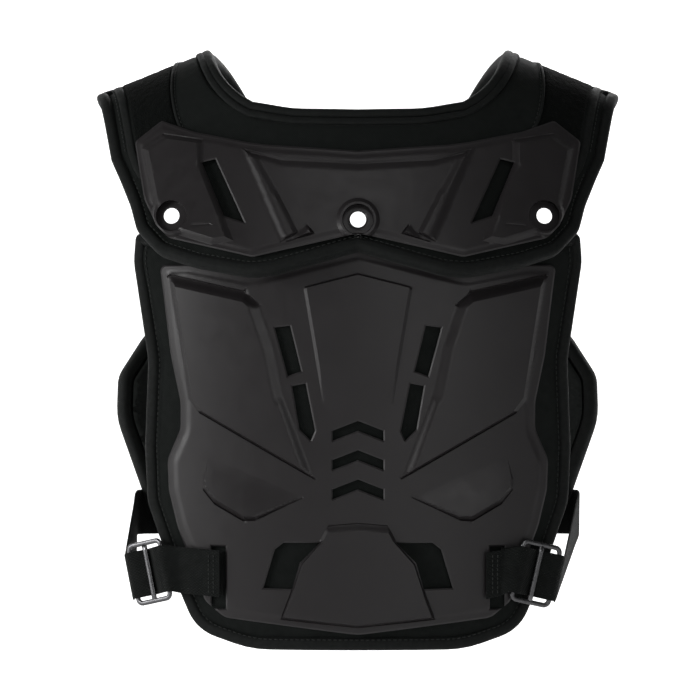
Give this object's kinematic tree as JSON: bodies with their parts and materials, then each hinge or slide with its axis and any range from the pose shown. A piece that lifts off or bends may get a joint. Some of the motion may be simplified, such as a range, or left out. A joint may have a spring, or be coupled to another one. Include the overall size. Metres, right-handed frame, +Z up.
{
  "type": "off-road chest protector vest",
  "caption": "Body armour vest with moulded chest and back plates on padded panels, shoulder straps, waist webbing and slide buckles.",
  "frame": {"origin": "on the wearer's trunk axis, level with the bottom edge of the front pad, midway between left and right", "axes": "+Z up the trunk, -Y out of the chest, +X to the left of the wearer, which is right as seen from the front"},
  "size_m": [0.435, 0.2871, 0.4952],
  "materials": {
    "moulded_plate": "satin, fine moulded texture",
    "cover_fabric": "smooth knitted cover over foam",
    "edge_binding": "stretch binding tape",
    "lining_mesh": "open air mesh",
    "webbing": "woven elastic webbing",
    "loop_tape": "loop pile tape",
    "buckle": "polished",
    "fastener": "moulded"
  },
  "bodies": {
    "upper_front": {"front_upper_plate": "moulded_plate", "front_upper_pad": "cover_fabric", "front_upper_binding": "edge_binding", "upper_eyelets": "fastener", "upper_plate_rivets": "fastener", "front_strap_left": "cover_fabric", "front_strap_right": "cover_fabric", "loop_strip_left": "loop_tape", "loop_strip_right": "loop_tape", "strap_panel_left": "cover_fabric", "strap_panel_right": "cover_fabric", "shoulder_rails_front": "edge_binding", "collar_piping": "edge_binding", "upper_liner": "lining_mesh"},
    "lower_front": {"front_lower_plate": "moulded_plate", "front_lower_pad": "cover_fabric", "front_lower_binding": "edge_binding", "vent_mesh": "lining_mesh", "lower_plate_rivets": "fastener", "front_webbing_left": "webbing", "front_webbing_right": "webbing", "lower_liner": "lining_mesh", "flex_gusset": "cover_fabric", "waist_webbing_left": "webbing", "waist_webbing_right": "webbing"},
    "back": {"back_upper_plate": "moulded_plate", "back_lower_plate": "moulded_plate", "back_pad": "cover_fabric", "back_binding": "edge_binding", "back_plate_rivets": "fastener", "back_liner": "lining_mesh", "rear_strap_left": "cover_fabric", "rear_strap_right": "cover_fabric", "shoulder_rails_rear": "edge_binding", "webbing_patches": "webbing"},
    "buckle_left": {"buckle_left": "buckle"},
    "buckle_right": {"buckle_right": "buckle"}
  },
  "joints": [
    {"name": "back_swing", "type": "hinge", "parent": "upper_front", "child": "back", "pos_m": [0, -0.01, 0.505], "axis": [1, 0, 0], "range_deg": [0, 14], "deforming": ["waist_webbing_left", "waist_webbing_right"]},
    {"name": "chest_flex", "type": "hinge", "parent": "upper_front", "child": "lower_front", "pos_m": [0, -0.1, 0.352], "axis": [1, 0, 0], "range_deg": [-5, 5], "deforming": ["flex_gusset"]},
    {"name": "buckle_left_tilt", "type": "hinge", "parent": "lower_front", "child": "buckle_left", "pos_m": [-0.157, -0.08005, 0.066], "axis": [-0.1957, 0.0742, 0.9779], "range_deg": [-4, 20]},
    {"name": "buckle_right_tilt", "type": "hinge", "parent": "lower_front", "child": "buckle_right", "pos_m": [0.1295, -0.09285, 0.066], "axis": [-0.2227, -0.0266, -0.9745], "range_deg": [-4, 20]}
  ]
}
